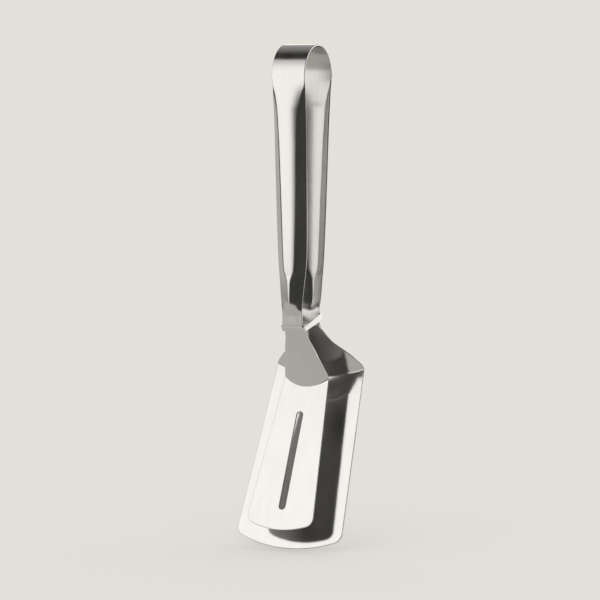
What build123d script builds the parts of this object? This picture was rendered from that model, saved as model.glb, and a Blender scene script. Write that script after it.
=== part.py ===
"""Serving tongs bent from stainless strip, with a slotted blade in front and a wide blade behind.

The frame hangs from the inside top of the bow: +Z up, +X along the strip's width,
and -Y towards the slotted blade. Lengths are millimetres and angles are degrees.
"""
import os
from math import atan2, cos, radians, sin, tan

from build123d import *

os.makedirs("parts", exist_ok=True)

# Sheet and strip
sheet = 1.0
strip_width = 20.0
seat_gap = 0.03

# Bow, the springy bend that the tongs hang and flex by
bow_radius = 17.0

# Arms, which lean in towards each other, with a foot bent back below each crease
arm_lean = 2.5
arm_length = 135.7
foot_length = 3.6
waist_width = 12.1
flat_rise = 0.02

# The channel pressed along an arm: where each section lies, the strip's width there between its
# waist at 0 and its full width at 1, and the half width of the channel's top as a share of the
# strip's half width; below it the strip is flat down to the crease
arm_station_shares = (0.0, 0.055, 0.095, 0.135, 0.2, 0.3, 0.5, 0.7, 0.776, 0.8, 0.826, 0.9, 0.932, 0.958)
arm_width_shares = (1.0, 1.0, 1.0, 0.99, 0.97, 0.95, 0.88, 0.76, 0.6, 0.51, 0.42, 0.16, 0.05, 0.0)
arm_top_shares = (0.96, 0.96, 0.8, 0.67, 0.61, 0.56, 0.51, 0.44, 0.4, 0.27, 0.16, 0.14, 0.14, 0.14)

# The stations where one smooth stretch of the arm ends and the next begins
arm_span_ends = (0, 1, 4, 8, 13)

# How far the top is pressed out of the strip's plane and its edges drawn in at each section
arm_raises = (0.0, 0.0, 1.0, 2.1, 2.35, 2.2, 2.2, 2.8, 3.05, 3.2, 3.5, 3.7, 2.3, 0.0)
arm_drops = (0.0, 0.0, 0.7, 1.5, 1.9, 2.0, 2.0, 2.0, 1.6, 1.4, 1.0, 0.2, 0.1, 0.0)

# Blades: each lies on its foot's inner face, its neck slopes back, and the blade comes forward
neck_station_shares = (0.0, 0.2, 0.4, 0.6, 0.8, 1.0)
blade_angle = 23.7
neck_start = 0.4

front_neck_length = 35.0
front_neck_angle = 29.7
front_neck_width_shares = (0.0, 0.07, 0.32, 0.55, 0.79, 1.0)
front_shoulder_width = 27.2
front_tip_width = 40.6
front_blade_length = 83.1
front_tip_bulge = 4.4
front_bend_sag = 6.0
front_corner = 5.0

rear_neck_length = 28.5
rear_neck_angle = 32.1
rear_neck_width_shares = (0.0, 0.11, 0.26, 0.55, 0.82, 1.0)
rear_shoulder_width = 54.2
rear_tip_width = 64.6
rear_blade_length = 98.6
rear_tip_bulge = 7.0
rear_bend_sag = 6.5
rear_corner = 6.0

# Slot in the front blade
slot_length = 56.0
slot_width = 3.8
slot_top = 20.0

# Guide ring, welded across the front foot; the rear arm plays in it
ring_sheet = 0.8
ring_top_below_crease = 0.7
ring_bottom_below_crease = 3.9
ring_top_tilt = 15.3
ring_bottom_tilt = 12.6
ring_inner_round = 0.5
ring_side_clearance = 0.25
ring_back_clearance = 0.35
weld_spacing = 4.4
weld_width = 2.0
weld_depth = 0.15

across = Vector(1, 0, 0)
bow_center = Vector(0, 0, sheet - bow_radius)


def side_point(y, z):
    """A point or direction in the tongs' middle plane."""
    return Vector(0, y, z)


def slope(angle):
    """The downward direction that leans towards +Y by this angle from straight down."""
    return side_point(sin(radians(angle)), -cos(radians(angle)))


def side_plane(point, upright):
    """A section plane through the point, square to the middle plane, with its y along upright."""
    return Plane(origin=point, x_dir=across, z_dir=across.cross(upright))


def arm_plane(side, distance):
    """The section plane of an arm, at a distance below the bow; its y points outwards."""
    down = slope(-side * arm_lean)
    outward = side_point(side * cos(radians(arm_lean)), -sin(radians(arm_lean)))
    return side_plane(bow_center + outward * bow_radius + down * distance, outward)


def mixed(low, high, share):
    return low + (high - low) * share


def channel_section(plane, width, top_share, rise, drop, thickness):
    """One thin section: a straight top between two straight sides that fall to the edges."""
    top = width / 2 * top_share
    height = rise + flat_rise
    side = atan2(height + drop, width / 2 - top)
    fold = Vector(tan(side / 2), 1) * thickness
    square = Vector(sin(side), cos(side)) * thickness
    outer = [Vector(top, height), Vector(width / 2, -drop)]
    inner = [outer[1] - square, outer[0] - fold]
    half = outer + inner
    mirrored = [Vector(-point.X, point.Y) for point in reversed(half)]
    with BuildSketch(plane) as section:
        with BuildLine():
            Polyline(*half, *mirrored, close=True)
        make_face()
    return section.sketch.face()


def folded_arm(side, neck_angle):
    """One arm: flat below the bow, a smooth channel down to the waist, then flat over the crease."""
    sections = []
    table = zip(arm_station_shares, arm_width_shares, arm_top_shares, arm_raises, arm_drops)
    for station, share, top, rise, drop in table:
        width = mixed(waist_width, strip_width, share)
        plane = arm_plane(side, arm_length * station)
        sections.append(channel_section(plane, width, top, rise, drop, sheet))
    for first, last in zip(arm_span_ends, arm_span_ends[1:]):
        loft(sections=sections[first : last + 1])
    half_fold = (neck_angle + side * arm_lean) / 2
    crease = arm_plane(side, arm_length).origin
    for point, turn, thickness in (
        (crease, half_fold, sheet / cos(radians(half_fold))),
        (crease + slope(neck_angle) * foot_length, neck_angle + side * arm_lean, sheet),
    ):
        upright = slope(turn - side * arm_lean + 90) * side
        sections.append(channel_section(side_plane(point, upright), waist_width, top, rise, drop, thickness))
        loft(sections=sections[-2:], ruled=True)


def band_section(plane, width, thickness, sag):
    """A thin band across the neck, dipping by the sag in its middle."""
    with BuildSketch(plane) as section:
        with BuildLine():
            for rise in (0, thickness):
                ThreePointArc((-width / 2, rise), (0, rise - sag), (width / 2, rise))
            for end in (-width / 2, width / 2):
                Line((end, 0), (end, thickness))
        make_face()
    return section.sketch.face()


class BladeShape:
    """The side view of one blade: its front face runs from its top edge to shoulder to tip."""

    def __init__(self, top, neck_angle, neck_length):
        self.top = top
        self.neck_angle = neck_angle
        self.neck_length = neck_length
        self.neck_down = slope(neck_angle)
        self.shoulder = top + self.neck_down * neck_length
        self.bend = neck_angle + blade_angle
        self.blade_down = slope(-blade_angle)
        self.blade_plane = side_plane(self.shoulder, self.blade_down * -1)
        self.through = sheet / sin(radians(self.bend))

    def section_angle(self, share):
        """Section planes turn from square to the neck to the blade's own back face."""
        return mixed(self.neck_angle + 90, 180 - blade_angle, share)

    def neck_plane(self, share):
        reach = (self.neck_length + self.through) * share
        return side_plane(self.top + self.neck_down * reach, slope(self.section_angle(share)))

    def neck_thickness(self, share):
        """How much of the tilted section plane the sheet takes."""
        return sheet / sin(radians(self.section_angle(share) - self.neck_angle))


def blade_head(shape, widths, shoulder_width, tip_width, length, bulge, bend_sag, corner):
    """The neck and the flat blade of one head, as one bent sheet."""
    necks = []
    for station, share in zip(neck_station_shares, widths):
        width = mixed(waist_width, shoulder_width, share)
        sag = mixed(flat_rise, bend_sag, station**3)
        necks.append(band_section(shape.neck_plane(station), width, shape.neck_thickness(station), sag))
    loft(sections=necks)

    back_edge = shape.through - sheet / tan(radians(shape.bend))
    taper = (tip_width - shoulder_width) / length
    top_half = (shoulder_width - taper * back_edge) / 2
    with BuildSketch(shape.blade_plane) as blade:
        with BuildLine():
            ThreePointArc((-top_half, back_edge), (0, back_edge - bend_sag), (top_half, back_edge))
            Line((top_half, back_edge), (tip_width / 2, -length))
            ThreePointArc((tip_width / 2, -length), (0, -length - bulge), (-tip_width / 2, -length))
            Line((-tip_width / 2, -length), (-top_half, back_edge))
        make_face()
        fillet(blade.vertices().sort_by(Axis.Y)[:2], radius=corner)
    extrude(blade.sketch, amount=-sheet)


# Where the arms' outer faces fold at their creases, and where the blades start beside the feet
front_crease = arm_plane(-1, arm_length).origin
rear_crease = arm_plane(1, arm_length).origin
front_outward = slope(front_neck_angle - 90)
front_lap = slope(front_neck_angle) * neck_start - front_outward * (sheet + seat_gap)
rear_lap = slope(rear_neck_angle) * neck_start + slope(rear_neck_angle - 90) * (sheet * 2 + seat_gap)
front_shape = BladeShape(front_crease + front_lap, front_neck_angle, front_neck_length)
rear_shape = BladeShape(rear_crease + rear_lap, rear_neck_angle, rear_neck_length)

with BuildPart() as spring_bow:
    with BuildSketch(Plane.YZ):
        with BuildLine():
            sweep_angle = 180 + 2 * arm_lean
            hub = (bow_center.Y, bow_center.Z)
            outer = CenterArc(hub, bow_radius, -arm_lean, sweep_angle)
            inner = CenterArc(hub, bow_radius - sheet, -arm_lean, sweep_angle)
            Line(outer @ 0, inner @ 0)
            Line(outer @ 1, inner @ 1)
        make_face()
    extrude(amount=strip_width / 2, both=True)
spring_bow.part.label = "spring_bow"

with BuildPart() as front_arm:
    folded_arm(-1, front_neck_angle)
front_arm.part.label = "front_arm"

with BuildPart() as rear_arm:
    folded_arm(1, rear_neck_angle)
rear_arm.part.label = "rear_arm"

with BuildPart() as front_blade:
    blade_head(
        front_shape,
        front_neck_width_shares,
        front_shoulder_width,
        front_tip_width,
        front_blade_length,
        front_tip_bulge,
        front_bend_sag,
        front_corner,
    )
    with BuildSketch(front_shape.blade_plane):
        with Locations((0, -slot_top - slot_length / 2)):
            SlotOverall(slot_length, slot_width, rotation=90)
    extrude(amount=-sheet, mode=Mode.SUBTRACT)
front_blade.part.label = "front_blade"

with BuildPart() as rear_blade:
    blade_head(
        rear_shape,
        rear_neck_width_shares,
        rear_shoulder_width,
        rear_tip_width,
        rear_blade_length,
        rear_tip_bulge,
        rear_bend_sag,
        rear_corner,
    )
rear_blade.part.label = "rear_blade"

rear_arm_outward = arm_plane(1, 0).y_dir
weld_radius = weld_width**2 / weld_depth / 8 + weld_depth / 2


def ring_outline(below_crease, tilt, wall):
    """The ring's outline, grown by the wall, in a plane that climbs back from the front foot."""
    start = front_crease + slope(front_neck_angle) * below_crease
    backwards = slope(90 + tilt)
    reach = (rear_crease - start).dot(rear_arm_outward) / backwards.dot(rear_arm_outward)
    seat = seat_gap / cos(radians(front_neck_angle - tilt))
    depth = seat + reach + ring_back_clearance
    with BuildSketch(side_plane(start, backwards * -1)) as outline:
        with Locations((0, seat - depth / 2)):
            RectangleRounded(
                waist_width + 2 * (ring_side_clearance + wall), depth + 2 * wall, ring_inner_round + wall
            )
    return outline.sketch.face()


with BuildPart() as guide_ring:
    for wall, mode in ((ring_sheet, Mode.ADD), (0, Mode.SUBTRACT)):
        top_outline = ring_outline(ring_top_below_crease, ring_top_tilt, wall)
        bottom_outline = ring_outline(ring_bottom_below_crease, ring_bottom_tilt, wall)
        loft(sections=[bottom_outline, top_outline], ruled=True, mode=mode)
    weld_place = (ring_top_below_crease + ring_bottom_below_crease) / 2
    weld_center = front_crease + slope(front_neck_angle) * weld_place
    weld_center += front_outward * (seat_gap + ring_sheet + weld_radius - weld_depth)
    for hand in (-1, 1):
        with Locations(weld_center + across * hand * weld_spacing / 2):
            Sphere(weld_radius, mode=Mode.SUBTRACT)
guide_ring.part.label = "guide_ring"

pieces = (spring_bow, front_arm, rear_arm, front_blade, rear_blade, guide_ring)
for piece in pieces:
    export_step(piece.part, f"parts/{piece.part.label}.step")
    print(piece.part.label, round(piece.part.volume, 1), piece.part.bounding_box())
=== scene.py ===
# %% [markdown]
# # Serving tongs in bright stainless sheet
#
# The tongs are taken as one bent strip with a pressed channel in each arm, two stamped
# blades welded inside its ends, and a narrow band round the waist. Everything is thin
# polished sheet, so the whole look comes from true curved surfaces, rounded sheet edges and
# what the metal mirrors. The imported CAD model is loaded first, as the fixed frame.

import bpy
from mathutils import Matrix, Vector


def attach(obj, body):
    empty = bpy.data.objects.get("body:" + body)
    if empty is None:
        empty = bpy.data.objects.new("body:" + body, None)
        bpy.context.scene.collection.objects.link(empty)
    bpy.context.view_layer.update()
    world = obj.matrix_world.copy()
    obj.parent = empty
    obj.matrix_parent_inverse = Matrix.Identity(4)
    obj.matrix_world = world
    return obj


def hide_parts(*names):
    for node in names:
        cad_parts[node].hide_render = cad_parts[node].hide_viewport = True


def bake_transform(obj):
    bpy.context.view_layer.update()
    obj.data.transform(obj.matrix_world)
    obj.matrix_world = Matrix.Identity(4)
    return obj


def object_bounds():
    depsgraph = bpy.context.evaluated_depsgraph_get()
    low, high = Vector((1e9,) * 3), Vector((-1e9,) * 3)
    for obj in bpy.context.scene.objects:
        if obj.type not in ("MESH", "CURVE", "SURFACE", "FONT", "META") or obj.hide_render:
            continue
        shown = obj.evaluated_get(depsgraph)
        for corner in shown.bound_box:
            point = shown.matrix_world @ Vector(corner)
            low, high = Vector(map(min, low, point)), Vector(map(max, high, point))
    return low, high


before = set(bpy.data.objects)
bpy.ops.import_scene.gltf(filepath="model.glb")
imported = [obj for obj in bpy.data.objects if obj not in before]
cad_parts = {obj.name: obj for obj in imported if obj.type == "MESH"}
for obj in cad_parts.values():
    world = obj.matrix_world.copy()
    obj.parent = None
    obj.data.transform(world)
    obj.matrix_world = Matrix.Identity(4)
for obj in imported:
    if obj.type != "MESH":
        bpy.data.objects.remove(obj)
cad_box = [[float(value) for value in corner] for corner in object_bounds()]
print("CAD box in metres", cad_box)

# %% Tools
from collections import namedtuple
from math import atan2, cos, pi, radians, sin, sqrt, tan

import bmesh
import bpy
import numpy as np
from mathutils import Quaternion, Vector
from mathutils.geometry import tessellate_polygon

MM = 0.001  # lengths below are written in millimetres, and meshes are made in metres
scene = bpy.context.scene

# %% [markdown]
# ## The driving sizes
#
# The sheet is a 20 mm strip, 1 mm thick, bent to a 34 mm bow. The shape was read from the
# photograph, but its scale and the sheet's thickness are what such tongs are taken to have.
# Angles are measured in the side view, from straight down. The CAD solids were made from
# the same sizes, so each piece below lies where its node is.

# %% Sizes
SHEET = 1.0
STRIP_WIDTH = 20.0
WAIST_WIDTH = 12.1
BOW_RADIUS = 17.0
ARM_LEAN = 2.5
ARM_LENGTH = 135.7
FOOT_LENGTH = 3.6
FRONT_NECK_ANGLE = 29.7
REAR_NECK_ANGLE = 32.1
BLADE_ANGLE = 23.7
NECK_START = 0.4
SEAT_GAP = 0.03
RIM_ROUND = 0.32
FACETING = 0.006  # the smooth model lies this much lower, inside the faceted CAD bow
ACROSS = np.array((1.0, 0.0, 0.0))
BOW_CENTER = np.array((0.0, 0.0, SHEET - BOW_RADIUS - FACETING))


def slope(angle):
    """The direction in the middle plane that leans back by this angle from straight down."""
    return np.array((0.0, sin(radians(angle)), -cos(radians(angle))))


def arm_place(side, distance):
    """A point on an arm's outer face, this far below the bow, and the direction out of it."""
    outward = slope(side * (90 - ARM_LEAN))
    return BOW_CENTER + outward * BOW_RADIUS + slope(-side * ARM_LEAN) * distance, outward


def mixed(low, high, share):
    return low + (high - low) * share


FRONT_CREASE = arm_place(-1, ARM_LENGTH)[0]
REAR_CREASE = arm_place(1, ARM_LENGTH)[0]
print("creases in millimetres", FRONT_CREASE.round(3), REAR_CREASE.round(3))

# %% [markdown]
# ## Making a mesh with its own shading normals
#
# A mirror shows every flaw in a normal. A flat face beside a small rounded rim would look
# dished if Blender averaged the normals at their shared edge. So each piece is made from
# points whose true normals are known, and the normals are stored with the mesh. All faces
# are turned outwards first, and the caps at a tube's ends are shaded flat.

# %% Mesh helper
SHARPEST = 0.5  # a face this far off a point's normal, as a cosine, is shaded flat there
MOST_SMOOTH_CORNERS = 4  # a face with more corners is a flat cap


def make_piece(name, points, normals, faces):
    """A mesh object from points in millimetres, their true normals and the faces between them."""
    mesh = bpy.data.meshes.new(name)
    mesh.from_pydata([tuple(point * MM) for point in points], [], faces)
    sides = bmesh.new()
    sides.from_mesh(mesh)
    bmesh.ops.recalc_face_normals(sides, faces=sides.faces)
    sides.to_mesh(mesh)
    sides.free()
    shading = []
    for polygon in mesh.polygons:
        polygon.use_smooth = len(polygon.vertices) <= MOST_SMOOTH_CORNERS
        own = np.array(polygon.normal)
        for ray in normals[list(polygon.vertices)]:
            rounded = polygon.use_smooth and abs(own @ ray) > SHARPEST
            shading.append(tuple(ray if rounded else own))
    mesh.normals_split_custom_set(shading)
    piece = bpy.data.objects.new(name, mesh)
    scene.collection.objects.link(piece)
    size = (np.max(points, axis=0) - np.min(points, axis=0)).round(2)
    print(name, "has", len(mesh.polygons), "faces and measures", size, "mm")
    return piece


def unit(vectors):
    return vectors / np.linalg.norm(vectors, axis=-1, keepdims=True)


def eased(x, table_x, table_y):
    """A smooth curve through a table's points, with no kinks and no overshoot."""
    xs, ys = np.array(table_x, float), np.array(table_y, float)
    steps = np.diff(ys) / np.diff(xs)
    grades = np.zeros(len(xs))
    for i in range(1, len(xs) - 1):
        if steps[i - 1] * steps[i] > 0:
            grades[i] = 2 * steps[i - 1] * steps[i] / (steps[i - 1] + steps[i])
    i = np.clip(np.searchsorted(xs, x, side="right") - 1, 0, len(xs) - 2)
    width = xs[i + 1] - xs[i]
    t = (x - xs[i]) / width
    rest = 1 - t
    return (
        ys[i] * rest**2 * (1 + 2 * t) + ys[i + 1] * t**2 * (3 - 2 * t)
        + width * t * rest * (grades[i] * rest - grades[i + 1] * t)
    )


print("an eased table gives", round(eased(0.5, (0, 1, 2), (0, 1, 1)), 3))

# %% [markdown]
# ## The strip: bow, channelled arms and feet
#
# The handle is one strip from foot to foot. Its channel grows out of the flat bow, runs
# down the arm as a low round crown between two falling sides, gathers into a sharp ridge
# where the strip narrows, and dies out above the flat waist. Below the waist the strip
# bends back to the slope of the blade's neck. A section is worked out at each station and
# the sections are joined, which keeps the reflections running cleanly along the arm.

# %% Channel tables
# The stations lie at these shares of the arm's length, and each table below has one value
# for each of them.
STATION_SHARES = (
    0.0, 0.03, 0.06, 0.095, 0.135, 0.2, 0.3, 0.5,
    0.7, 0.776, 0.8, 0.826, 0.9, 0.932, 0.958, 1.0,
)
# The width, from 0 at the waist's to 1 at the strip's.
WIDTH_SHARES = (
    1.0, 1.0, 1.0, 1.0, 0.99, 0.97, 0.95, 0.88,
    0.76, 0.6, 0.51, 0.42, 0.16, 0.05, 0.0, 0.0,
)
# The crown's share of the width, and the angle in degrees at its edge.
TOP_SHARES = (
    0.96, 0.95, 0.86, 0.77, 0.67, 0.61, 0.56, 0.51,
    0.44, 0.4, 0.26, 0.12, 0.08, 0.09, 0.12, 0.12,
)
CROWN_ANGLES = (
    0.0, 6.0, 12.0, 16.0, 18.0, 17.0, 16.0, 16.0,
    15.0, 14.0, 12.0, 10.0, 8.0, 6.0, 0.0, 0.0,
)
# How far the crown stands above the flat sheet and the rims below it, in millimetres.
RISES = (
    0.0, 0.1, 0.4, 1.1, 2.1, 2.35, 2.2, 2.2,
    2.8, 3.05, 3.2, 3.5, 3.7, 2.3, 0.0, 0.0,
)
DROPS = (
    0.0, 0.75, 1.0, 1.25, 1.6, 1.9, 2.0, 2.0,
    2.0, 1.6, 1.4, 1.0, 0.2, 0.1, 0.0, 0.0,
)
CROWN_LIFT = 0.35
SHOULDER_ROUND = 0.9
CROWN_PART = 0.9  # the shoulder's rounding takes at most this share of the crown
SIDE_PART = 0.7  # and at most this share of the falling side
PROFILE_POINTS = 11
RIM_POINTS = 6


def arc_points(center, radius, start, end, count):
    """Points and outward normals along an arc of a section; angles from its upright."""
    turns = np.linspace(start, end, count)
    rays = np.stack((np.sin(turns), np.cos(turns)), axis=1)
    return np.array(center) + rays * radius, rays


# %% One section of the strip
def channel_profile(width, top_share, crown_angle, rise, drop):
    """A closed section of the strip: x across and y outwards, with the normals."""
    top = width / 2 * top_share
    bulge = top * tan(radians(crown_angle)) / 2
    crown_top = rise + bulge * CROWN_LIFT
    shoulder, edge = np.array((top, crown_top - bulge)), np.array((width / 2, -drop))
    falling = unit(edge - shoulder)
    square = np.array((-falling[1], falling[0]))
    falling_width = width / 2 - top - RIM_ROUND
    rounding = min(SHOULDER_ROUND, top * CROWN_PART, falling_width * SIDE_PART)
    rim_start = edge - falling * RIM_ROUND
    share = np.linspace(0, 1, PROFILE_POINTS)[:, None]
    across = share * (1 - rounding / top)
    crown = np.hstack((across * top, crown_top - bulge * across**2))
    slant = unit(np.array((1.0, -tan(radians(crown_angle)) * across[-1, 0])))
    knee = crown[-1] + slant * rounding
    curve_end = shoulder + falling * rounding
    curve = (1 - share) ** 2 * crown[-1] + 2 * share * (1 - share) * knee + share**2 * curve_end
    outer = np.concatenate((crown[:-1], curve[:-1], mixed(curve[-1], rim_start, share)))
    along = unit(np.gradient(outer, axis=0))
    normals = np.stack((-along[:, 1], along[:, 0]), axis=1)
    normals[0] = (0, 1)
    points, rays = [outer], [normals]
    for level, start in ((RIM_ROUND, 0), (SHEET - RIM_ROUND, pi / 2)):
        turns = np.linspace(start, start + pi / 2, RIM_POINTS)[1:, None]
        ray = square * np.cos(turns) + falling * np.sin(turns)
        points.append(rim_start - square * level + ray * RIM_ROUND)
        rays.append(ray)
    points.append((outer - normals * SHEET)[-2::-1])
    rays.append(-normals[-2::-1])
    half, half_rays = np.concatenate(points), np.concatenate(rays)
    mirror = np.array((-1.0, 1.0))
    return tuple(np.concatenate((side, (side * mirror)[-2:0:-1])) for side in (half, half_rays))


example, _ = channel_profile(STRIP_WIDTH, 0.5, 16.0, 2.2, 2.0)
print("a section has", len(example), "points and is", np.ptp(example, axis=0).round(2), "mm")

# %% The strip's path
BOW_STATIONS = 40
ARM_STATIONS = 170
BEND_STATIONS = 8
FOOT_STATIONS = 4
BEND_ROUND = 0.6


def strip_stations(side, neck_angle):
    """Along the strip: place, outward direction and the section there."""
    stations = []
    bow = (STRIP_WIDTH, TOP_SHARES[0], 0.0, 0.0, 0.0)
    for turn in np.linspace(0, 90 + ARM_LEAN, BOW_STATIONS, endpoint=False):
        outward = slope(side * (180 - turn))
        stations.append((BOW_CENTER + outward * BOW_RADIUS, outward, bow))
    fold = neck_angle + side * ARM_LEAN
    bend = BEND_ROUND + SHEET if side < 0 else -BEND_ROUND
    reach = abs(bend) * tan(radians(fold / 2))
    for distance in np.linspace(0, ARM_LENGTH - reach, ARM_STATIONS):
        width_share, *section = (
            eased(distance / ARM_LENGTH, STATION_SHARES, table)
            for table in (WIDTH_SHARES, TOP_SHARES, CROWN_ANGLES, RISES, DROPS)
        )
        width = mixed(WAIST_WIDTH, STRIP_WIDTH, width_share)
        stations.append((*arm_place(side, distance), (width, *section)))
    bend_start, outward = arm_place(side, ARM_LENGTH - reach)
    waist = (WAIST_WIDTH, TOP_SHARES[-1], 0.0, 0.0, 0.0)
    for turn in np.linspace(0, fold, BEND_STATIONS + 1)[1:]:
        turned = slope(side * (90 - ARM_LEAN) + turn)
        stations.append((bend_start + (turned - outward) * bend, turned, waist))
    for distance in np.linspace(reach, FOOT_LENGTH, FOOT_STATIONS + 1)[1:]:
        crease = arm_place(side, ARM_LENGTH)[0]
        stations.append((crease + slope(neck_angle) * distance, turned, waist))
    return stations


def tube_faces(rows, columns):
    """Quads round a tube of closed sections, with a cap at each end."""
    faces = []
    for row in range(rows - 1):
        for column in range(columns):
            beside = (column + 1) % columns
            a, b = row * columns + column, row * columns + beside
            faces.append((a, a + columns, b + columns, b))
    faces.append(tuple(range(columns)))
    faces.append(tuple((rows - 1) * columns + column for column in reversed(range(columns))))
    return faces


# %% Join the sections
def strip_half(name, side, neck_angle):
    """Half of the bow, one arm and its foot, as one sheet with rounded rims."""
    grid, flats, outwards = [], [], []
    for place, outward, section in strip_stations(side, neck_angle):
        outline, rays = channel_profile(*section)
        grid.append(place + outline[:, :1] * ACROSS + outline[:, 1:] * outward)
        flats.append(rays)
        outwards.append(outward)
    grid, flats, outwards = np.array(grid), np.array(flats), np.array(outwards)[:, None, :]
    along = unit(np.gradient(grid, axis=0))
    around = flats[..., 1:] * ACROSS - flats[..., :1] * outwards
    flat_normals = flats[..., :1] * ACROSS + flats[..., 1:] * outwards
    normals = unit(np.cross(around, along))
    normals *= np.sign(np.sum(normals * flat_normals, axis=-1, keepdims=True))
    faces = tube_faces(*grid.shape[:2])
    return make_piece(name, grid.reshape(-1, 3), normals.reshape(-1, 3), faces)


front_strip = strip_half("front_handle_strip", -1, FRONT_NECK_ANGLE)
rear_strip = strip_half("rear_handle_strip", 1, REAR_NECK_ANGLE)

# %% [markdown]
# ## A stamped sheet with rounded rims
#
# Each blade is one stamping: a neck that slopes back and spreads, a soft bend, and a flat
# blade. The bent part is a grid of points. The flat part has curved sides and a
# slot, so it is filled between its outline and the grid's last row. The same points moved
# back by the sheet's thickness make the other face, and a strip rounded at both edges
# closes every rim. Blender's Solidify and Bevel could do this too, but not with exact
# normals beside the bends.

# %% Grid and rim helpers
RIM_STEPS = 5


def fillet_rows(before, corner, after, radius, count):
    """Replaces a corner in a side path by an arc of this radius, as points."""
    inward, outward = unit(before - corner), unit(after - corner)
    half = np.arccos(np.clip(np.sum(inward * outward, axis=-1), -1, 1))[:, None] / 2
    reach = radius / np.tan(half)
    center = corner + unit(inward + outward) * radius / np.sin(half)
    first, last = corner + inward * reach - center, corner + outward * reach - center
    turn = pi - 2 * half
    rows = []
    for share in np.linspace(0, 1, count):
        swung = first * np.sin((1 - share) * turn) + last * np.sin(share * turn)
        rows.append(center + swung / np.sin(turn))
    return rows


def grid_normals(grid):
    """Front normals of a grid of rows from top to bottom, columns from left to right."""
    down = np.gradient(grid, axis=0)
    right = np.gradient(grid, axis=1)
    return unit(np.cross(right, down) * -1)


def rim_rows(edge, outward, normal):
    """Rounds a sheet's rim: rows of points and normals from the front face to the back."""
    rows = []
    for level, start, end in ((RIM_ROUND, 0, pi / 2), (SHEET - RIM_ROUND, pi / 2, pi)):
        for turn in np.linspace(start, end, RIM_STEPS):
            ray = outward * sin(turn) + normal * cos(turn)
            rows.append((edge - outward * RIM_ROUND - normal * level + ray * RIM_ROUND, ray))
    return rows


def loop_outward(edge, normal, away_from):
    """In-sheet directions that point out of a closed rim, square to it."""
    along = np.roll(edge, -1, axis=0) - np.roll(edge, 1, axis=0)
    outward = unit(np.cross(along, normal))
    middle = np.sum((edge - away_from) * outward)
    return outward if middle > 0 else -outward


print("a rim has", 2 * RIM_STEPS, "rows")

# %% Fill a stamped sheet
def quads(rows):
    """Quads between neighbouring rows of point numbers."""
    return [
        (upper[i], lower[i], lower[i + 1], upper[i + 1])
        for upper, lower in zip(rows, rows[1:])
        for i in range(len(upper) - 1)
    ]


def stamped_sheet(name, grid, plane_normal, outline, slots):
    """A bent grid and the flat sheet below it, as one sheet with rounded rims."""
    rows, columns = grid.shape[:2]
    normals = grid_normals(grid)
    normals[-1] = plane_normal
    flat = np.concatenate([outline, *slots])
    front = np.concatenate((grid.reshape(-1, 3), flat))
    rays = np.concatenate((normals.reshape(-1, 3), np.tile(plane_normal, (len(flat), 1))))
    number = np.arange(rows * columns).reshape(rows, columns)
    beside = list(range(rows * columns, rows * columns + len(outline)))
    flat_loops = [list(number[-1]) + beside]
    slot_start = rows * columns + len(outline)
    for slot in slots:
        flat_loops.append(list(range(slot_start, slot_start + len(slot))))
        slot_start += len(slot)
    order = [i for loop in flat_loops for i in loop]
    corners = [[Vector(front[i]) for i in loop] for loop in flat_loops]
    triangles = [tuple(order[i] for i in triple) for triple in tessellate_polygon(corners)]
    face_side = quads([list(row) for row in number]) + triangles
    count = len(front)
    points = [front, front - rays * SHEET]
    shading = [rays, -rays]
    faces = face_side + [tuple(i + count for i in face) for face in face_side]

    rim = list(number[0]) + list(number[1:, -1]) + beside + list(number[:0:-1, 0])
    total = 2 * count
    for loop, sign in [(rim, 1)] + [(loop, -1) for loop in flat_loops[1:]]:
        edge, normal = front[loop], rays[loop]
        outward = loop_outward(edge, normal, edge.mean(axis=0)) * sign
        ring = rim_rows(edge + outward * RIM_ROUND, outward, normal)
        numbers = [loop + loop[:1]]
        for place, ray in ring[1:-1]:
            points.append(place)
            shading.append(ray)
            own = list(range(total, total + len(loop)))
            numbers.append(own + own[:1])
            total += len(loop)
        back = [i + count for i in loop]
        numbers.append(back + back[:1])
        faces += quads(numbers)
    return make_piece(name, np.concatenate(points), np.concatenate(shading), faces)


# %% [markdown]
# ## The two blades
#
# Each neck starts against the inner face of its arm's foot, as if welded there. A blade is
# drawn by its side path: down the neck, round the bend and onto the flat. Across the neck
# each row is a shallow arc that deepens towards the bend, which is why the bend line on the
# real blade dips in its middle. The slot lets liquid drain through the front blade.

# %% Blade sizes
Head = namedtuple(
    "Head",
    "top neck_angle neck_length neck_widths shoulder_width tip_width"
    " blade_length tip_bulge bend_sag corner",
)
NECK_SHARES = (0.0, 0.2, 0.4, 0.6, 0.8, 1.0)
SLOT_LENGTH = 56.0
SLOT_WIDTH = 3.8
SLOT_TOP = 20.0
SHOULDER_BEND = 1.5

front_lap = slope(FRONT_NECK_ANGLE) * NECK_START + slope(FRONT_NECK_ANGLE + 90) * (SHEET + SEAT_GAP)
rear_seat = slope(REAR_NECK_ANGLE - 90) * (2 * SHEET + SEAT_GAP)
rear_lap = slope(REAR_NECK_ANGLE) * NECK_START + rear_seat
FRONT_HEAD = Head(
    top=FRONT_CREASE + front_lap, neck_angle=FRONT_NECK_ANGLE, neck_length=35.0,
    neck_widths=(0.0, 0.07, 0.32, 0.55, 0.79, 1.0),
    shoulder_width=27.2, tip_width=40.6, blade_length=83.1, tip_bulge=4.4, bend_sag=6.0, corner=5.0,
)
REAR_HEAD = Head(
    top=REAR_CREASE + rear_lap, neck_angle=REAR_NECK_ANGLE, neck_length=28.5,
    neck_widths=(0.0, 0.11, 0.26, 0.55, 0.82, 1.0),
    shoulder_width=54.2, tip_width=64.6, blade_length=98.6, tip_bulge=7.0, bend_sag=6.5, corner=6.0,
)
print("necks start at", FRONT_HEAD.top.round(3), "and", REAR_HEAD.top.round(3), "mm")

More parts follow.
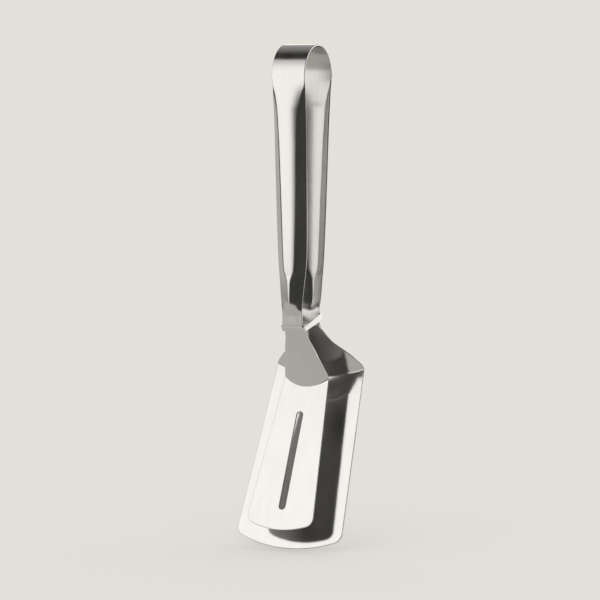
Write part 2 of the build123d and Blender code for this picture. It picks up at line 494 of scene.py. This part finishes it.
# %% The bent part of a blade
COLUMNS = 61
COLUMN_SPREAD = 0.75  # the columns stand closer together towards the neck's sides
NECK_ROWS = 40
BEND_ROWS = 7
LEAST_SAG_SHARE = 0.01  # keeps the arc's radius finite at the neck's flat top
SEARCH_RANGE = (0.5, 1.1)  # shares of a column's path between which it meets the blade
SEARCH_STEPS = 40
BLADE_DOWN = slope(-BLADE_ANGLE)
BLADE_NORMAL = slope(-BLADE_ANGLE - 90)


def neck_row(head, share, columns, end_shares):
    """One arched row across the neck; each column is its own share of its own path."""
    shares = share * end_shares
    widths = mixed(WAIST_WIDTH, head.shoulder_width, eased(share, NECK_SHARES, head.neck_widths))
    x = columns * (widths / 2 - RIM_ROUND)
    through = SHEET / sin(radians(head.neck_angle + BLADE_ANGLE))
    turns = np.radians(mixed(head.neck_angle + 90, 180 - BLADE_ANGLE, shares))
    uprights = np.stack((0 * turns, np.sin(turns), -np.cos(turns)), axis=1)
    sag = head.bend_sag * np.maximum(shares, LEAST_SAG_SHARE) ** 3
    radius = ((widths / 2) ** 2 + sag**2) / (2 * sag)
    dip = np.sqrt(radius**2 - x**2) - (radius - sag)
    reach = (head.neck_length + through) * shares
    down_neck = np.outer(reach, slope(head.neck_angle))
    return head.top + down_neck + np.outer(x, ACROSS) - uprights * dip[:, None]


def shoulder_of(head):
    return head.top + slope(head.neck_angle) * head.neck_length


def bent_grid(head):
    """Rows of the front face from the neck's top edge to where the blade turns flat."""
    columns = np.sin(np.linspace(-pi / 2, pi / 2, COLUMNS) * COLUMN_SPREAD)
    columns = columns / sin(pi / 2 * COLUMN_SPREAD)
    low, high = (np.full(COLUMNS, share) for share in SEARCH_RANGE)
    for _ in range(SEARCH_STEPS):
        middle = (low + high) / 2
        in_front = (neck_row(head, 1.0, columns, middle) - shoulder_of(head)) @ BLADE_NORMAL > 0
        low, high = np.where(in_front, middle, low), np.where(in_front, high, middle)
    necks = [neck_row(head, share, columns, low) for share in np.linspace(0, 1, NECK_ROWS)]
    below = necks[-1] + BLADE_DOWN
    bend = fillet_rows(necks[-2], necks[-1], below, SHOULDER_BEND, BEND_ROWS)
    return np.array(necks[:-1] + bend)


# %% The flat part of a blade
SIDE_POINTS = 24
CORNER_POINTS = 10
TIP_POINTS = 24
SLOT_END_POINTS = 17


def on_blade(head, flat_points):
    """Points of the blade's front face from distances across and down it."""
    across, down = np.array(flat_points).T
    return shoulder_of(head) + np.outer(across, ACROSS) + np.outer(down, BLADE_DOWN)


def blade_outline(head, start):
    """The inset outline of the flat blade, from the right end of the bend to its left end."""
    flare = (head.tip_width - head.shoulder_width) / 2 / head.blade_length
    side_down = np.array((flare, 1.0)) / sqrt(1 + flare**2)
    side_out = np.array((side_down[1], -side_down[0]))
    half_tip = head.tip_width / 2
    big = (half_tip**2 + head.tip_bulge**2) / (2 * head.tip_bulge)
    center = np.array((0.0, head.blade_length + head.tip_bulge - big))
    inner = head.corner - RIM_ROUND
    origin = np.array((head.shoulder_width / 2, 0.0)) - side_out * (RIM_ROUND + inner) - center
    reach = origin @ side_down
    along = -reach + sqrt(reach**2 - origin @ origin + (big - RIM_ROUND - inner) ** 2)
    hub = origin + side_down * along + center
    side_end = hub + side_out * inner
    low_ray = unit(hub - center)
    turn_side, turn_low = atan2(side_out[0], side_out[1]), atan2(low_ray[0], low_ray[1])
    half = [start + (side_end - start) * share for share in np.linspace(0, 1, SIDE_POINTS)[1:]]
    half += list(arc_points(hub, inner, turn_side, turn_low, CORNER_POINTS)[0][1:])
    half += list(arc_points(center, big - RIM_ROUND, turn_low, 0, TIP_POINTS)[0][1:])
    half = np.array(half)
    return np.concatenate((half, half[-2::-1] * (-1, 1)))


def slot_outline(head):
    """The long drain slot, as the outset loop that the rounded rim starts from."""
    radius = SLOT_WIDTH / 2 + RIM_ROUND
    top, bottom = SLOT_TOP + SLOT_WIDTH / 2, SLOT_TOP + SLOT_LENGTH - SLOT_WIDTH / 2
    upper = arc_points((0, top), -radius, -pi / 2, pi / 2, SLOT_END_POINTS)[0]
    lower = arc_points((0, bottom), radius, -pi / 2, pi / 2, SLOT_END_POINTS)[0]
    return np.concatenate((upper, lower))


def make_blade(name, head, slotted):
    grid = bent_grid(head)
    last = grid[-1, -1] - shoulder_of(head)
    outline = on_blade(head, blade_outline(head, np.array((last @ ACROSS, last @ BLADE_DOWN))))
    slots = [on_blade(head, slot_outline(head))] if slotted else []
    return stamped_sheet(name, grid, BLADE_NORMAL, outline, slots)


front_blade = make_blade("front_slotted_blade", FRONT_HEAD, True)
rear_blade = make_blade("rear_wide_blade", REAR_HEAD, False)

# %% [markdown]
# ## The guide ring
#
# A narrow band closes round both arms at their creases. Its front wall lies on the front
# foot, where two small spot welds show, and its sides climb towards the back and grow
# taller. It is drawn as two closed loops in tilted planes, one for its bottom and one for
# its top, with a small rounded section between them.

# %% Ring sizes
RING_SHEET = 0.8
RING_TOP_BELOW_CREASE = 0.7
RING_BOTTOM_BELOW_CREASE = 3.9
RING_TOP_TILT = 15.3
RING_BOTTOM_TILT = 12.6
RING_INNER_ROUND = 0.5
RING_SIDE_CLEARANCE = 0.25
RING_BACK_CLEARANCE = 0.35
RING_RIM = 0.22
WELD_SPACING = 4.4
WELD_WIDTH = 2.0
WELD_DEPTH = 0.15
RING_FACE_ROWS = 20
RING_CORNER_POINTS = 9
RING_WALL_STEPS = 64
RIM_TURNS = np.linspace(0, pi / 2, 5)

FRONT_OUTWARD = slope(FRONT_NECK_ANGLE - 90)
weld_below_crease = (RING_TOP_BELOW_CREASE + RING_BOTTOM_BELOW_CREASE) / 2
weld_middle = (
    FRONT_CREASE
    + slope(FRONT_NECK_ANGLE) * weld_below_crease
    + FRONT_OUTWARD * (SEAT_GAP + RING_SHEET)
)


def ring_loop(below_crease, tilt):
    """The ring's inner path in a tilted plane from the front foot: places and outward rays."""
    start = FRONT_CREASE + slope(FRONT_NECK_ANGLE) * below_crease
    forwards = slope(tilt - 90)
    rear_outward = arm_place(1, 0)[1]
    reach = -((REAR_CREASE - start) @ rear_outward) / (forwards @ rear_outward)
    seat = SEAT_GAP / cos(radians(FRONT_NECK_ANGLE - tilt))
    depth = seat + reach + RING_BACK_CLEARANCE
    half_x = WAIST_WIDTH / 2 + RING_SIDE_CLEARANCE - RING_INNER_ROUND
    half_y = depth / 2 - RING_INNER_ROUND
    path, rays = [], []
    for quarter, (right, up) in enumerate(((1, 1), (1, -1), (-1, -1), (-1, 1))):
        hub = (right * half_x, seat - depth / 2 + up * half_y)
        start_turn, end_turn = quarter * pi / 2, (quarter + 1) * pi / 2
        place, ray = arc_points(hub, RING_INNER_ROUND, start_turn, end_turn, RING_CORNER_POINTS)
        path += list(place)
        rays += list(ray)
    flat_path, flat_rays = [], []
    for i, after in enumerate(path[1:] + path[:1]):
        steps = 1 if (i + 1) % RING_CORNER_POINTS else RING_WALL_STEPS
        for step in range(steps):
            flat_path.append(mixed(path[i], after, step / steps))
            flat_rays.append(rays[i])
    frame_axes = np.array((ACROSS, forwards))
    return start + np.array(flat_path) @ frame_axes, np.array(flat_rays) @ frame_axes


inner_path, _ = ring_loop(RING_TOP_BELOW_CREASE, RING_TOP_TILT)
print("the ring's inner loop has", len(inner_path), "points")

# %% Ring mesh
def ring_section():
    """Round the band's section: thickness, share of height, height past the rim, and normal."""
    section = [(RING_SHEET, share, 0, 1, 0) for share in np.linspace(0, 1, RING_FACE_ROWS)]
    for out, top in ((1, 1), (-1, 1), (-1, -1), (1, -1)):
        depth = RING_SHEET - RING_RIM if out > 0 else RING_RIM
        for turn in RIM_TURNS[1:] if out == top else RIM_TURNS[-2::-1]:
            ray = (out * cos(turn), top * sin(turn))
            section.append((depth + ray[0] * RING_RIM, (top + 1) / 2, ray[1] * RING_RIM, *ray))
    return section[:-1]


def weld_depth(places):
    """How deep the two spot welds press the ring's front bar, with smooth edges."""
    depth = np.zeros(len(places))
    for hand in (-1, 1):
        away = np.linalg.norm(places - weld_middle - ACROSS * hand * WELD_SPACING / 2, axis=1)
        bowl = np.maximum(1 - (away / (WELD_WIDTH / 2)) ** 2, 0)
        depth += WELD_DEPTH * bowl**2 * (3 - 2 * bowl)
    return depth


def guide_ring():
    low_path, low_rays = ring_loop(RING_BOTTOM_BELOW_CREASE, RING_BOTTOM_TILT)
    high_path, high_rays = ring_loop(RING_TOP_BELOW_CREASE, RING_TOP_TILT)
    grid, flat_normals = [], []
    for thickness, share, past, out, up in ring_section():
        low, high = low_path + low_rays * thickness, high_path + high_rays * thickness
        upward = unit(high - low)
        rays = mixed(low_rays, high_rays, share)
        rays = unit(rays - upward * np.sum(rays * upward, axis=1, keepdims=True))
        place = mixed(low + upward * RING_RIM, high - upward * RING_RIM, share) + upward * past
        if out == 1:
            place = place - rays * weld_depth(place)[:, None]
        grid.append(place)
        flat_normals.append(rays * out + upward * up)
    grid, normals = np.array(grid), np.array(flat_normals)
    front_rows = slice(1, RING_FACE_ROWS - 1)
    around = np.roll(grid, -1, axis=1) - np.roll(grid, 1, axis=1)
    over = np.roll(grid, -1, axis=0) - np.roll(grid, 1, axis=0)
    bowled = np.cross(over, around)
    bowled *= np.sign(np.sum(bowled * normals, axis=-1, keepdims=True))
    near_welds = (np.linalg.norm(grid - weld_middle, axis=-1) < WELD_SPACING)[..., None]
    normals[front_rows] = np.where(near_welds, unit(bowled), normals)[front_rows]
    rows, columns = grid.shape[:2]
    number = np.arange(rows * columns).reshape(rows, columns)
    loops = [list(row) + [row[0]] for row in number]
    faces = quads(loops + loops[:1])
    return make_piece("guide_band", grid.reshape(-1, 3), normals.reshape(-1, 3), faces)


ring = guide_ring()

# %% [markdown]
# ## Bright stainless steel
#
# The real sheet is polished, so its colour is what it mirrors, slightly warm. Rolling and
# polishing leave a fine grain along the sheet, washing leaves faint smears, and stamping
# leaves the blades a little wavy. Noise stretched along the part drives the roughness and
# a very small bump, which is enough to keep the mirror from looking like plastic.

# %% Steel
GRAIN_STRETCH = 40  # the grain is this many times longer along the part than across it
SMEAR_SCALE = (170, 170, 24)
SMEARED_COLOUR = 0.955
WAVE_SCALE = (70, 70, 45)
GRAIN_HEIGHT = 0.0006
INWARD_SCALE = -80  # turns a place's distance from the middle plane into an inward direction
BACK_TURN = (0.2, 0.5)  # between these cosines to its back, a face turns from bright to rough and darkened with painted shade


def steel(name, colour, roughness, grain_scale, wave, dullness_and_shade=0.0, back=None):
    """Polished sheet with grain, smears and slight waves; its inner or back face is rougher and
    darkened with painted shade.
    """
    material = bpy.data.materials.new(name)
    material.use_nodes = True
    nodes, links = material.node_tree.nodes, material.node_tree.links
    shader = nodes["Principled BSDF"]
    shader.inputs["Metallic"].default_value = 1.0
    coordinates = nodes.new("ShaderNodeTexCoord").outputs
    place = coordinates["Object"]

    def noise(scale, detail):
        stretch = nodes.new("ShaderNodeMapping")
        stretch.inputs["Scale"].default_value = scale
        links.new(place, stretch.inputs["Vector"])
        texture = nodes.new("ShaderNodeTexNoise")
        texture.inputs["Scale"].default_value = 1.0
        texture.inputs["Detail"].default_value = detail
        links.new(stretch.outputs["Vector"], texture.inputs["Vector"])
        return texture.outputs["Fac"]

    def ranged(value, low, high, start=0.3, end=0.7):
        spread = nodes.new("ShaderNodeMapRange")
        spread.inputs["From Min"].default_value = start
        spread.inputs["From Max"].default_value = end
        spread.inputs["To Min"].default_value = low
        spread.inputs["To Max"].default_value = high
        links.new(value, spread.inputs["Value"])
        return spread.outputs["Result"]

    def summed(first, second):
        adder = nodes.new("ShaderNodeMath")
        links.new(first, adder.inputs[0])
        links.new(second, adder.inputs[1])
        return adder.outputs["Value"]

    grain = noise((grain_scale, grain_scale, grain_scale / GRAIN_STRETCH), 3.0)
    smears = noise(SMEAR_SCALE, 2.0)
    waves = noise(WAVE_SCALE, 1.0)
    tone = nodes.new("ShaderNodeMix")
    tone.data_type = "RGBA"
    tone.inputs["A"].default_value = (*[part * SMEARED_COLOUR for part in colour], 1)
    tone.inputs["B"].default_value = (*colour, 1)
    links.new(ranged(smears, 0, 1), tone.inputs["Factor"])
    grained = ranged(grain, roughness * 0.8, roughness * 1.1)
    rough = summed(grained, ranged(smears, 0.0, roughness * 0.35))
    turned = nodes.new("ShaderNodeVectorMath")
    turned.operation = "DOT_PRODUCT"
    links.new(coordinates["Normal"], turned.inputs[0])
    if back is None:
        inward = nodes.new("ShaderNodeVectorMath")
        inward.operation = "MULTIPLY"
        inward.inputs[1].default_value = (0, INWARD_SCALE, 0)
        links.new(place, inward.inputs[0])
        links.new(inward.outputs["Vector"], turned.inputs[1])
    else:
        turned.inputs[1].default_value = tuple(back)
    rough = summed(rough, ranged(turned.outputs["Value"], 0.0, dullness_and_shade, *BACK_TURN))
    # Painted shade: faces turned inwards or backwards get their colour darkened by this share, as
    # well as more roughness.
    painted_back_shade = nodes.new("ShaderNodeMix")
    painted_back_shade.data_type = "RGBA"
    painted_back_shade.blend_type = "MULTIPLY"
    painted_back_shade.inputs["B"].default_value = (*[1 - dullness_and_shade] * 3, 1)
    links.new(ranged(turned.outputs["Value"], 0, 1, *BACK_TURN), painted_back_shade.inputs["Factor"])
    links.new(tone.outputs["Result"], painted_back_shade.inputs["A"])
    links.new(painted_back_shade.outputs["Result"], shader.inputs["Base Color"])
    links.new(rough, shader.inputs["Roughness"])
    relief = nodes.new("ShaderNodeBump")
    relief.inputs["Strength"].default_value = 1.0
    relief.inputs["Distance"].default_value = MM
    height = summed(ranged(grain, 0.0, GRAIN_HEIGHT), ranged(waves, 0.0, wave))
    links.new(height, relief.inputs["Height"])
    links.new(relief.outputs["Normal"], shader.inputs["Normal"])
    return material


# The number after the wave height is how much rougher inner or back faces are, and how much painted
# shade darkens their colour.
handle_steel = steel("handle_steel_polished", (0.6, 0.592, 0.577), 0.16, 2600, 0.01, 0.1)
blade_steel = steel(
    "blade_steel_polished", (0.62, 0.615, 0.602), 0.1, 2200, 0.012, 0.3, -BLADE_NORMAL
)
ring_steel = steel("ring_steel_polished", (0.64, 0.635, 0.622), 0.08, 2800, 0.004)
print("materials", [material.name for material in bpy.data.materials])

# %% [markdown]
# ## Joining the pieces to the CAD bodies
#
# The strip is springy: squeezing bends the bow while the arms stay straight. Each half of the strip
# is baked in place here and is not joined to the bow or its jaw. Blades ride on their jaws, and the
# band on the front one.

# %% Join
for strip, side, body, arm in (
    (front_strip, -1, "front_jaw", "front_arm"),
    (rear_strip, 1, "rear_jaw", "rear_arm"),
):
    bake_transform(strip)
    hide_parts("spring_bow", arm)
for piece, body, node in (
    (front_blade, "front_jaw", "front_blade"),
    (rear_blade, "rear_jaw", "rear_blade"),
    (ring, "front_jaw", "guide_ring"),
):
    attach(piece, body)
    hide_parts(node)
for pieces, slot, material in (
    ((front_strip, rear_strip), "handle_steel", handle_steel),
    ((front_blade, rear_blade), "blade_steel", blade_steel),
    ((ring,), "ring_steel", ring_steel),
):
    for piece in pieces:
        piece.data.materials.append(material)
print("joined", [piece.name for piece in (front_strip, rear_strip, front_blade, rear_blade, ring)])

# %% [markdown]
# ## The studio
#
# Polished steel shows its surroundings, so the studio is built for the mirror: a tall white
# screen to the front left, black flags beside it and to the front right, a softer screen
# behind and a bright one far to the right for the edges. They are seen by the metal and not
# by the camera. The camera sees a pale floor and a pale backdrop of one colour.

# %% Floor and backdrop
PALE = (0.772, 0.745, 0.70)
FLOOR_SHADE = 0.45  # the part of the floor's colour that light and shadow act on
FLOOR_MIRRORED = 0.62  # how bright the metal sees the floor
floor_height = cad_box[0][2]


def sheet_of(name, corners, material):
    """A flat or folded backdrop from rows of corners; the first row is joined to the next."""
    mesh = bpy.data.meshes.new(name)
    width = len(corners[0])
    flat = [tuple(corner) for row in corners for corner in row]
    numbers = [[row * width + i for i in range(width)] for row in range(len(corners))]
    mesh.from_pydata(flat, [], quads(numbers))
    mesh.materials.append(material)
    backdrop = bpy.data.objects.new(name, mesh)
    scene.collection.objects.link(backdrop)
    return backdrop


def light_path_material(name):
    material = bpy.data.materials.new(name)
    material.use_nodes = True
    material.node_tree.nodes.clear()
    return material, material.node_tree.nodes, material.node_tree.links


def floor_material():
    """Pale for the camera, greyer in the metal, and shaded only a little by the object."""
    material, nodes, links = light_path_material("pale_floor")
    path = nodes.new("ShaderNodeLightPath")
    seen, mirrored = (nodes.new("ShaderNodeEmission") for _ in range(2))
    shaded = nodes.new("ShaderNodeBsdfDiffuse")
    mirrored_share = FLOOR_MIRRORED / PALE[1] - FLOOR_SHADE
    shares = (1 - FLOOR_SHADE, mirrored_share, FLOOR_SHADE)
    for shader, share in zip((seen, mirrored, shaded), shares):
        shader.inputs["Color"].default_value = (*[part * share for part in PALE], 1)
    glow = nodes.new("ShaderNodeMixShader")
    links.new(path.outputs["Is Camera Ray"], glow.inputs["Fac"])
    links.new(mirrored.outputs["Emission"], glow.inputs[1])
    links.new(seen.outputs["Emission"], glow.inputs[2])
    both = nodes.new("ShaderNodeAddShader")
    links.new(glow.outputs["Shader"], both.inputs[0])
    links.new(shaded.outputs["BSDF"], both.inputs[1])
    output = nodes.new("ShaderNodeOutputMaterial")
    links.new(both.outputs["Shader"], output.inputs["Surface"])
    material.cycles.emission_sampling = "NONE"
    return material


FLOOR_REACH = 30.0
floor_ends = (-FLOOR_REACH, FLOOR_REACH)
floor_rows = [[(x, y, floor_height) for x in floor_ends] for y in floor_ends]
sheet_of("floor", floor_rows, floor_material())
print("floor at", round(floor_height / MM, 2), "mm")

# %% Screens
SCREEN_TINT = (1, 0.99, 0.965)
SCREEN_COLUMNS = 73
SCREEN_ROWS = 25


def screen_material(name, strength):
    """A glow that turns clear towards the screen's edges, from the mesh's own values."""
    material, nodes, links = light_path_material(name)
    fade = nodes.new("ShaderNodeAttribute")
    fade.attribute_name = "fade"
    glow = nodes.new("ShaderNodeEmission")
    glow.inputs["Color"].default_value = (*SCREEN_TINT, 1)
    glow.inputs["Strength"].default_value = strength
    clear = nodes.new("ShaderNodeBsdfTransparent")
    both = nodes.new("ShaderNodeMixShader")
    links.new(fade.outputs["Fac"], both.inputs["Fac"])
    links.new(clear.outputs["BSDF"], both.inputs[1])
    links.new(glow.outputs["Emission"], both.inputs[2])
    output = nodes.new("ShaderNodeOutputMaterial")
    links.new(both.outputs["Shader"], output.inputs["Surface"])
    material.cycles.emission_sampling = "NONE"
    return material


def screen(name, distance, azimuths, heights, strength, softness, top_edge=0.0):
    """A curved screen that only the metal sees; 0 degrees is straight ahead of the tongs.

    Softness is how far its left, right and top edges fade, in degrees and in metres, and
    top_edge is what is left of the glow at its top.
    """
    turns, levels = np.linspace(*azimuths, SCREEN_COLUMNS), np.linspace(*heights, SCREEN_ROWS)
    path = [(distance * sin(turn), -distance * cos(turn)) for turn in np.radians(turns)]
    rows = [[(*place, level) for place in path] for level in levels]
    backdrop = sheet_of(name, rows, screen_material(name + "_glow", strength))
    sides = np.minimum((turns - azimuths[0]) / softness[0], (azimuths[1] - turns) / softness[1])
    top = (heights[1] - levels) / softness[2]
    across, upwards = (x**2 * (3 - 2 * x) for x in (np.clip(sides, 0, 1), np.clip(top, 0, 1)))
    fades = np.outer(mixed(top_edge, 1, upwards), across)
    backdrop.data.attributes.new("fade", "FLOAT", "POINT").data.foreach_set("value", fades.ravel())
    for kind in ("camera", "diffuse", "shadow", "transmission", "volume_scatter"):
        setattr(backdrop, "visible_" + kind, False)


screen("front_left_screen", 0.5, (-66, 6), (-0.196, 0.59), 1.5, (4, 27, 0.5), 0.52)
screen("left_gap_flag", 0.58, (-90, -62), (-0.274, 0.9), 0.06, (3, 3, 0.4))
screen("front_right_flag", 0.62, (-12, 80), (-0.274, 0.9), 0.06, (12, 6, 0.4))
screen("low_right_flag", 0.22, (2, 76), (-0.274, -0.16), 0.06, (8, 6, 0.01))
screen("right_edge_screen", 0.6, (74, 132), (-0.22, -0.09), 2.2, (8, 8, 0.03))
screen("rear_screen", 0.7, (146, 234), (-0.27, 0.35), 1.5, (10, 10, 0.1))

# %% The world
# The room's brightness along each axis: from where to where it changes, and between what.
BEHIND = (-0.15, 0.35, 0.07, 0.5)
LEFT = (-0.98, -0.5, 0.6, 0.0)
OVERHEAD = (0.45, 0.98, 1.0, 0.5)


def studio_world():
    """One pale colour for the camera, even light for the floor, a dim room for the metal."""
    world = bpy.data.worlds.new("studio")
    scene.world = world
    world.use_nodes = True
    world.cycles.sampling_method = "NONE"
    nodes, links = world.node_tree.nodes, world.node_tree.links
    nodes.clear()
    direction = nodes.new("ShaderNodeTexCoord").outputs["Generated"]
    parts = nodes.new("ShaderNodeSeparateXYZ")
    links.new(direction, parts.inputs["Vector"])

    def ranged(value, start, end, low, high):
        spread = nodes.new("ShaderNodeMapRange")
        spread.interpolation_type = "SMOOTHSTEP"
        sockets = ("From Min", "From Max", "To Min", "To Max")
        for socket, number in zip(sockets, (start, end, low, high)):
            spread.inputs[socket].default_value = number
        links.new(value, spread.inputs["Value"])
        return spread.outputs["Result"]

    def combined(operation, first, second):
        node = nodes.new("ShaderNodeMath")
        node.operation = operation
        links.new(first, node.inputs[0])
        links.new(second, node.inputs[1])
        return node.outputs["Value"]

    behind = ranged(parts.outputs["Y"], *BEHIND)
    left = ranged(parts.outputs["X"], *LEFT)
    overhead = ranged(parts.outputs["Z"], *OVERHEAD)
    room = combined("MULTIPLY", combined("MAXIMUM", behind, left), overhead)
    path = nodes.new("ShaderNodeLightPath")
    dim, even, pale = (nodes.new("ShaderNodeBackground") for _ in range(3))
    links.new(room, dim.inputs["Strength"])
    dim.inputs["Color"].default_value = (1, 0.98, 0.95, 1)
    even.inputs["Color"].default_value = (1, 1, 1, 1)
    pale.inputs["Color"].default_value = (*PALE, 1)
    for_metal = nodes.new("ShaderNodeMixShader")
    links.new(path.outputs["Is Glossy Ray"], for_metal.inputs["Fac"])
    links.new(even.outputs["Background"], for_metal.inputs[1])
    links.new(dim.outputs["Background"], for_metal.inputs[2])
    for_camera = nodes.new("ShaderNodeMixShader")
    links.new(path.outputs["Is Camera Ray"], for_camera.inputs["Fac"])
    links.new(for_metal.outputs["Shader"], for_camera.inputs[1])
    links.new(pale.outputs["Background"], for_camera.inputs[2])
    output = nodes.new("ShaderNodeOutputWorld")
    links.new(for_camera.outputs["Shader"], output.inputs["Surface"])


studio_world()
scene.view_settings.view_transform = "Standard"
print("world", scene.world.name)

# %% [markdown]
# ## The camera
#
# The photograph looks down a little from the front right through a long lens, so the tongs
# are seen three-quarter on with hardly any convergence.

# %% Camera
CAMERA_PLACE = (606.34, -1206.55, -32.28)  # in millimetres
CAMERA_BACK = (0.44811, -0.89049, 0.0789)
CAMERA_ROLL = 0.205
LENS = 147.6
SENSOR_WIDTH = 36

camera_data = bpy.data.cameras.new("photo_view")
camera_data.lens = LENS
camera_data.sensor_width = SENSOR_WIDTH
camera = bpy.data.objects.new("photo_view", camera_data)
scene.collection.objects.link(camera)
level_view = Vector(CAMERA_BACK).to_track_quat("Z", "Y")
camera.rotation_euler = (level_view @ Quaternion((0, 0, 1), radians(CAMERA_ROLL))).to_euler()
camera.location = Vector(CAMERA_PLACE) * MM
scene.camera = camera
print("camera", tuple(round(value, 3) for value in camera.location))
